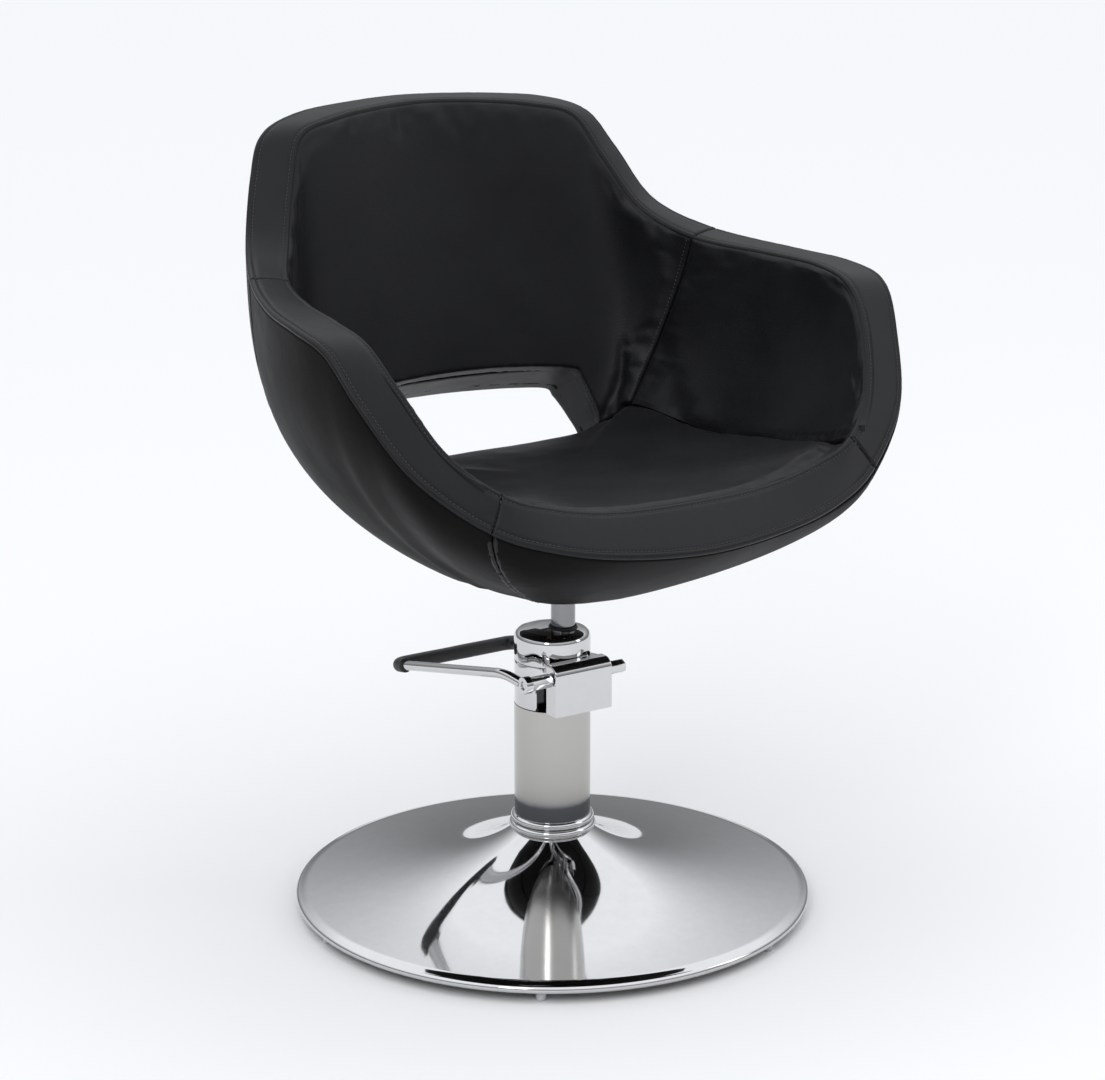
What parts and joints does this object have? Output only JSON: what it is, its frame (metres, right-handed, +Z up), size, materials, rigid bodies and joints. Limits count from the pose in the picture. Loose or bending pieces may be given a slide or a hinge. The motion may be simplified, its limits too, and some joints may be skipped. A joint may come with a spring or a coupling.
{
  "type": "styling chair",
  "caption": "Salon styling chair: black padded bucket seat with a window in the back, on a chromed hydraulic pump with a foot lever and a round trumpet base.",
  "frame": {"origin": "centre of the round base on the floor, on the pump cylinder's axis", "axes": "+Z up; the seat faces -Y; +X is towards the sitter's left"},
  "size_m": [0.7364, 0.6305, 0.905],
  "materials": {
    "black_leather": "smooth black upholstery leather, slight sheen, topstitched seams",
    "chrome": "polished chrome plate",
    "satin_steel": "satin stainless tube",
    "polished_steel": "ground and polished steel shaft",
    "plain_steel": "plain machined steel",
    "bronze": "machined bearing bronze",
    "black_rubber": "matt black rubber",
    "foot_plastic": "translucent grey plastic",
    "plywood": "raw moulded plywood"
  },
  "bodies": {
    "base": {"base_dome": "chrome", "base_collar": "chrome", "base_weight": "plain_steel", "tie_bolt": "plain_steel", "base_flange": "plain_steel", "base_nut": "plain_steel", "foot_1": "foot_plastic", "foot_2": "foot_plastic", "foot_3": "foot_plastic", "foot_4": "foot_plastic", "foot_5": "foot_plastic", "foot_6": "foot_plastic", "pump_cylinder": "satin_steel", "pump_barrel": "plain_steel", "pump_head": "chrome", "pump_cap": "chrome", "ram_guide": "bronze", "ram_wiper": "black_rubber", "lever_cover": "chrome", "pin_lug_left": "plain_steel", "pin_lug_right": "plain_steel", "plunger_spring": "plain_steel"},
    "piston": {"ram_piston": "bronze"},
    "chair": {"ram": "polished_steel", "taper_socket": "plain_steel", "seat_plate": "plain_steel", "plate_bolt_1": "plain_steel", "plate_bolt_2": "plain_steel", "plate_bolt_3": "plain_steel", "plate_bolt_4": "plain_steel", "seat_board": "plywood", "tub_frame": "plywood", "seat_cushion": "black_leather", "inner_back_pad": "black_leather", "inner_arm_pad_left": "black_leather", "inner_arm_pad_right": "black_leather", "outer_back_panel": "black_leather", "outer_arm_panel_left": "black_leather", "outer_arm_panel_right": "black_leather", "outer_front_panel": "black_leather", "underside_panel": "black_leather", "rim_back": "black_leather", "rim_arm_left": "black_leather", "rim_arm_right": "black_leather", "rim_front": "black_leather", "window_liner": "black_leather", "front_piping_left": "black_leather", "front_piping_right": "black_leather"},
    "lever": {"lever_bar": "chrome", "pedal_sleeve": "black_rubber", "pivot_pin": "chrome", "pivot_nut_left": "chrome", "pivot_bolt_head": "chrome", "lever_eye_left": "chrome", "lever_eye_right": "chrome", "lever_cam": "plain_steel"},
    "plunger": {"pump_plunger": "plain_steel"}
  },
  "joints": [
    {"name": "seat_lift", "type": "slide", "parent": "base", "child": "piston", "axis": [0, 0, 1], "range_m": [0, 0.14]},
    {"name": "seat_swivel", "type": "hinge", "parent": "piston", "child": "chair", "pos_m": [0.0102, -0.0068, 0.372], "axis": [0, 0, 1], "continuous": true},
    {"name": "pump_pedal", "type": "hinge", "parent": "base", "child": "lever", "pos_m": [0, -0.055, 0.29], "axis": [1, 0, 0], "range_deg": [-18, 0], "stiffness_Nm_per_rad": 12, "springref_deg": 20.05},
    {"name": "plunger_slide", "type": "slide", "parent": "base", "child": "plunger", "axis": [0, 0, 1], "range_m": [-0.0075, 0], "deforming": ["plunger_spring"]}
  ],
  "couplings": [
    {"joint": "plunger_slide", "follows": "pump_pedal", "m_per_rad": 0.022}
  ]
}
